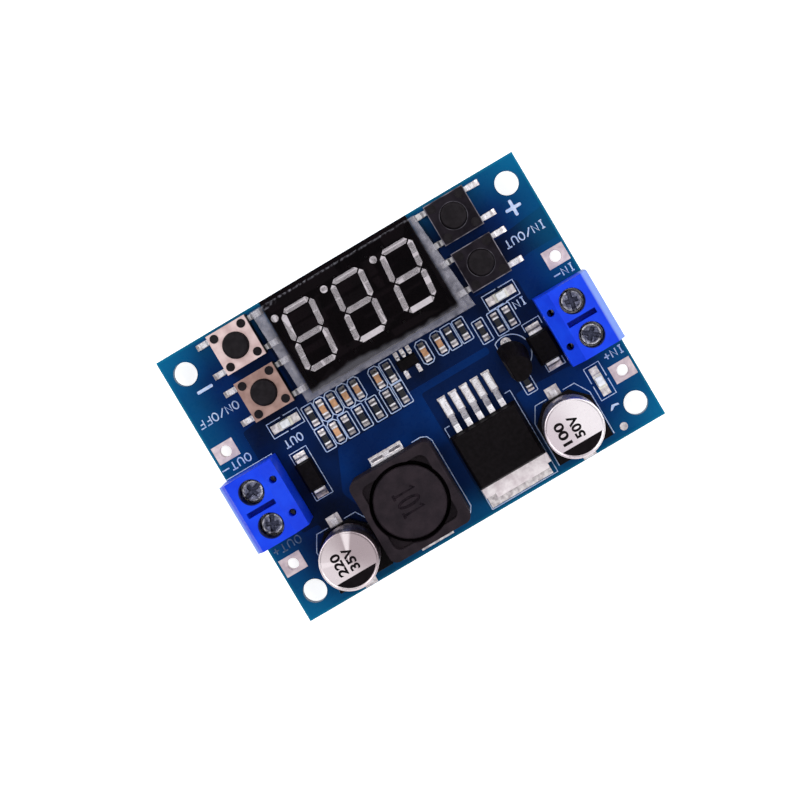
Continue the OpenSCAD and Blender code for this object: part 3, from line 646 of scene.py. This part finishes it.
# The stripe is the part of a disc that lies below a chord this far from the middle.
disc_radius, chord_y, rim_drop = 3.58, 1.93, 0.08
for name, x, first, second, words in (
    ("output_capacitor", -18.1, -19.5, -17.75, ("220", "35V")),
    ("input_capacitor", 16.35, 14.6, 16.6, ("100", "50V")),
):
    top = (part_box(name + "_can")[1].z - board_top) / MM - rim_drop
    middle = at(x, can_y, top + 0.02)
    bpy.ops.object.select_all(action="DESELECT")
    bpy.ops.mesh.primitive_circle_add(
        vertices=96, radius=disc_radius * MM, fill_type="NGON", location=middle)
    band = bpy.context.active_object
    band.name = name + "_stripe"
    bpy.ops.object.transform_apply()
    bpy.ops.object.mode_set(mode="EDIT")
    bpy.ops.mesh.select_all(action="SELECT")
    chord = middle - Vector((0, chord_y * MM, 0))
    bpy.ops.mesh.bisect(plane_co=chord, plane_no=(0, 1, 0), clear_outer=True, use_fill=False)
    bpy.ops.object.mode_set(mode="OBJECT")
    band.modifiers.new("ink", "SOLIDIFY").thickness = 0.015 * MM
    bpy.ops.object.modifier_apply(modifier="ink")
    band.data.materials.append(print_black)
    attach(band, "module")
    for line, left in zip(words, (first, second)):
        across = (left - 0.68, left + 0.68)
        lettered(name + "_" + line, line, print_black, across, (-16.5, -13.3), turn=90, h=top)

# ---- Push switches -------------------------------------------------------------
# Black nylon bases under stamped, nickel-plated covers that are riveted by four
# moulded stakes. The buttons are moulded nylon with a fine matt grain.

nylon, shader = new_material("moulded_nylon", "#181317", 0.5, specular=0.1)
mottled(nylon, shader, 0.8, "#130f13", "#1d191d")
rough_grain(nylon, shader, 0.15, 0.42, 0.62, 0.005)
for switch in ("minus", "on_off", "plus", "in_out"):
    dress(nylon, switch + "_switch_base", bevel=0.08)
    dress(nylon, switch + "_button", bevel=0.08, segments=3)
nickel, shader = new_material("nickel_plated_steel", "#dfc6c5", 0.42, metallic=0.8)
mottled(nickel, shader, 1.5, "#dfc7c6", "#c6aaa9")
rough_grain(nickel, shader, 0.2, 0.3, 0.42, 0.005)
dress(nickel, "minus_switch_cover", bevel=0.06)
# The on/off cover is a darker copy of the same nickel plate, as painted shade.
shaded_nickel, shader = new_material("nickel_plated_steel_painted_shade", "#a3857e", 0.45, metallic=0.8)
mottled(shaded_nickel, shader, 1.5, "#ad8e86", "#91736c")
rough_grain(shaded_nickel, shader, 0.2, 0.34, 0.46, 0.005)
dress(shaded_nickel, "on_off_switch_cover", bevel=0.06)


def off_axis(material, node):
    """Distance from the upright axis through the middle of this CAD node."""
    low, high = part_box(node)
    place = add_node(material, "TexCoord").outputs["Object"]
    flat = add_node(material, "VectorMath", {0: place, 1: (1, 1, 0)}, operation="MULTIPLY")
    middle = ((low.x + high.x) / 2, (low.y + high.y) / 2, 0)
    off = add_node(material, "VectorMath", {0: flat.outputs[0], 1: middle}, operation="DISTANCE")
    return off.outputs["Value"]


for switch in ("plus", "in_out"):
    # Steel painted near black as a painted dark reflection, with painted highlights in patches at the
    # plate's edge and round its hole.
    cover = switch + "_switch_cover"
    dark_reflection_steel, shader = new_material(switch + "_steel_painted_dark_reflection", "#1f1c21", 0.4, metallic=1.0)
    tone = mottled(dark_reflection_steel, shader, 1.5, "#1b181d", "#272329")
    rough_grain(dark_reflection_steel, shader, 0.2, 0.3, 0.45, 0.006)
    low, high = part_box(cover)
    place, middle = add_node(dark_reflection_steel, "TexCoord").outputs["Object"], (low + high) / 2
    off = add_node(dark_reflection_steel, "VectorMath", {0: place, 1: middle}, operation="SUBTRACT")
    off = add_node(dark_reflection_steel, "VectorMath", {0: off.outputs[0]}, operation="ABSOLUTE")
    side = add_node(dark_reflection_steel, "SeparateXYZ", {0: off.outputs[0]}).outputs
    far = add_node(dark_reflection_steel, "Math", {0: side["X"], 1: side["Y"]}, operation="MAXIMUM").outputs[0]
    edge, hole = (high.x - low.x) / 2, 1.84 * MM
    painted_glint = add_node(dark_reflection_steel, "MapRange", {
        "Value": far, "From Min": edge - 0.14 * MM, "From Max": edge - 0.08 * MM}).outputs[0]
    ring = add_node(dark_reflection_steel, "MapRange", {
        "Value": off_axis(dark_reflection_steel, cover), "From Min": hole + 0.14 * MM, "From Max": hole + 0.06 * MM,
        "To Min": 0.0, "To Max": 0.45}).outputs[0]
    painted_glint = add_node(dark_reflection_steel, "Math", {0: painted_glint, 1: ring}, operation="MAXIMUM").outputs[0]
    highlight_patches = spread(dark_reflection_steel, grain(dark_reflection_steel, 1.2), 0.15, 1.0)
    painted_glint = add_node(dark_reflection_steel, "Math", {0: painted_glint, 1: highlight_patches}, operation="MULTIPLY").outputs[0]
    mix = add_node(dark_reflection_steel, "Mix", {0: painted_glint, 6: tone, 7: linear("#85818c")}, data_type="RGBA")
    dark_reflection_steel.node_tree.links.new(mix.outputs[2], shader.inputs["Base Color"])
    dress(dark_reflection_steel, cover, bevel=0.06)
dress(tin, "switch_domes")

# ---- Screw terminals -----------------------------------------------------------
# Bright blue moulded housings with zinc-plated screws deep in their holes. The
# slant of the inner wall holds two small probe holes.

polyamide, shader = new_material("blue_polyamide", "#0a3ade", 0.42, specular=0.15)
tone = mottled(polyamide, shader, 3.0, "#0836da", "#0e44e8")
# A painted reflection lightens the outer rims of both housings, and painted shade darkens the walls of the
# screw holes.
rim_shift, blue_to, pale_from = 0.25 * MM, 27.35 * MM, 27.75 * MM
out = add_node(polyamide, "Math", {0: position(polyamide)["X"], 1: rim_shift}, operation="ADD")
out = add_node(polyamide, "Math", {0: out.outputs[0]}, operation="ABSOLUTE")
rim = add_node(polyamide, "MapRange", {
    "Value": out.outputs[0], "From Min": blue_to, "From Max": pale_from,
    "To Min": 0.0, "To Max": 0.8}).outputs[0]
tone = add_node(polyamide, "Mix", {0: rim, 6: tone, 7: linear("#83a4ee")}, data_type="RGBA").outputs[2]
screws = [terminal + "_screw_" + pole for terminal in ("output", "input") for pole in ("a", "b")]
blue_past, dark_within = 1.82 * MM, 1.7 * MM
# Painted shade on the wall of each screw hole.
for screw in screws:
    painted_hole_shade = add_node(polyamide, "MapRange", {
        "Value": off_axis(polyamide, screw), "From Min": blue_past, "From Max": dark_within}).outputs[0]
    tone = add_node(polyamide, "Mix", {0: painted_hole_shade, 6: tone, 7: linear("#04124e")}, data_type="RGBA").outputs[2]
polyamide.node_tree.links.new(tone, shader.inputs["Base Color"])
rough_grain(polyamide, shader, 0.3, 0.36, 0.5, 0.008)
dress(polyamide, "output_terminal_housing", "input_terminal_housing",
      bevel=0.14, segments=3, merge_flat=False)
rim_from, rim_to, recess_from, recess_to = 1.05 * MM, 1.25 * MM, 0.12 * MM, 0.5 * MM
for screw in screws:
    # Zinc plate with a painted highlight on its patchy rim, and painted shade in the drive recess.
    zinc, shader = new_material(screw + "_zinc_plate", "#8d90a6", 0.3, metallic=0.85)
    tone = mottled(zinc, shader, 0.45, "#7f8199", "#33354a")
    rim = add_node(zinc, "MapRange", {
        "Value": off_axis(zinc, screw), "From Min": rim_from, "From Max": rim_to}).outputs[0]
    highlight_patches = spread(zinc, grain(zinc, 0.7), 0.0, 1.0)
    rim = add_node(zinc, "Math", {0: rim, 1: highlight_patches}, operation="MULTIPLY").outputs[0]
    tone = add_node(zinc, "Mix", {0: rim, 6: tone, 7: linear("#e6e4ee")}, data_type="RGBA").outputs[2]
    head_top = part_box(screw)[1].z
    painted_recess_shade = add_node(zinc, "MapRange", {
        "Value": position(zinc)["Z"], "From Min": head_top - recess_from, "From Max": head_top - recess_to,
        "To Min": 0.0, "To Max": 0.8}).outputs[0]
    tone = add_node(zinc, "Mix", {0: painted_recess_shade, 6: tone, 7: linear("#34364a")}, data_type="RGBA").outputs[2]
    zinc.node_tree.links.new(tone, shader.inputs["Base Color"])
    rough_grain(zinc, shader, 0.4, 0.18, 0.4, 0.13)
    dress(zinc, screw, bevel=0.08)
    dress(tin, screw.replace("screw", "clamp"), bevel=0.06)

# ---- Display -------------------------------------------------------------------
# A glossy black moulded shell with slots filled by grey diffusing resin. It is
# closed underneath by potting, and stands on its rim over the microcontroller.

shell, shader = new_material("black_display_shell", "#080306", 0.25, specular=0.03)
mottled(shell, shader, 2.0, "#060305", "#0b0508")
rough_grain(shell, shader, 0.3, 0.24, 0.38, 0.004)
dress(shell, "display_case", bevel=0.08)
diffuser, shader = new_material("grey_diffusing_resin", "#bdb6bc", 0.6, specular=0.2)
mottled(diffuser, shader, 0.8, "#c2bbc1", "#b6afb5")
dress(diffuser, "display_segments")

# ---- Protective film -------------------------------------------------------------
# Thin soft film laid over the display for transport. It is clear where it clings
# to the face, and milky where its loose rim stands off the case.

film, shader = new_material("soft_protective_film", "#a5a3af", 0.3, specular=0.15)
milk = add_node(film, "Attribute", attribute_name="milk").outputs["Fac"]
film.node_tree.links.new(milk, shader.inputs["Alpha"])
rough_grain(film, shader, 1.2, 0.2, 0.4, 0.03)

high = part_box("display_film")[1]
face_low, face_high = [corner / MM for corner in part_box("display_case")]
bpy.ops.object.select_all(action="DESELECT")
bpy.ops.mesh.primitive_grid_add(x_subdivisions=150, y_subdivisions=90, size=1)
sheet = bpy.context.active_object
sheet.name = "protective_film"
cloud = sheet.data.attributes.new("milk", "FLOAT", "POINT")
gauge, hang = 0.04, 0.6
for i, vertex in enumerate(sheet.data.vertices):
    u, v = vertex.co.x + 0.5, vertex.co.y + 0.5
    left, right = -12.3 - 0.5 * v, 13.4 - 1.05 * v
    x, y = left + (right - left) * u, 5.6 - 0.2 * u + (14.1 + 0.2 * u) * v
    past = max(face_low.x - x, x - face_high.x, face_low.y - y, 0.0)
    # Broad waves and fine ripples; past the case the sheet droops a little.
    wave = noise.noise(Vector((x * 0.9, y * 0.9, 3.0)))
    fine = noise.noise(Vector((x * 2.6, y * 2.6, 9.0)))
    loose = min(past / hang, 1.0)
    vertex.co = at(x, y, 0.0)
    vertex.co.z = high.z + (loose * (0.16 * wave + 0.08 * fine - 0.1 * past) - gauge) * MM
    # The haze creeps a little way over the face from its lower edge.
    creep = face_low.y + 0.3 + 0.7 * math.exp(-((x + 4.5) / 4.5) ** 2) + 0.25 * wave
    haze = 0.17 * max(0.0, min(1.0, (creep - y) / 0.5 + 0.5))
    # The patchy milk along the film's top edge is a painted highlight.
    painted_edge_glints = 0.5 * max(0.0, fine + 0.2) if v > 0.985 else 0.0
    corner = 0.5 * max(0.0, fine) if v > 0.95 and x < -9.0 else 0.0
    over = 0.003 + max(haze, painted_edge_glints, corner)
    streak = 0.26 + 0.12 * v + 0.22 * wave + 0.16 * fine
    cloud.data[i].value = over * (1 - loose) + max(0.1, streak) * loose
sheet.data.materials.append(film)
sheet.data.polygons.foreach_set("use_smooth", [True] * len(sheet.data.polygons))
thicken = sheet.modifiers.new("thickness", "SOLIDIFY")
thicken.thickness = gauge * MM
select_only(sheet)
bpy.ops.object.modifier_apply(modifier="thickness")
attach(sheet, "module")
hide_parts("display_film")

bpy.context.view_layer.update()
import json
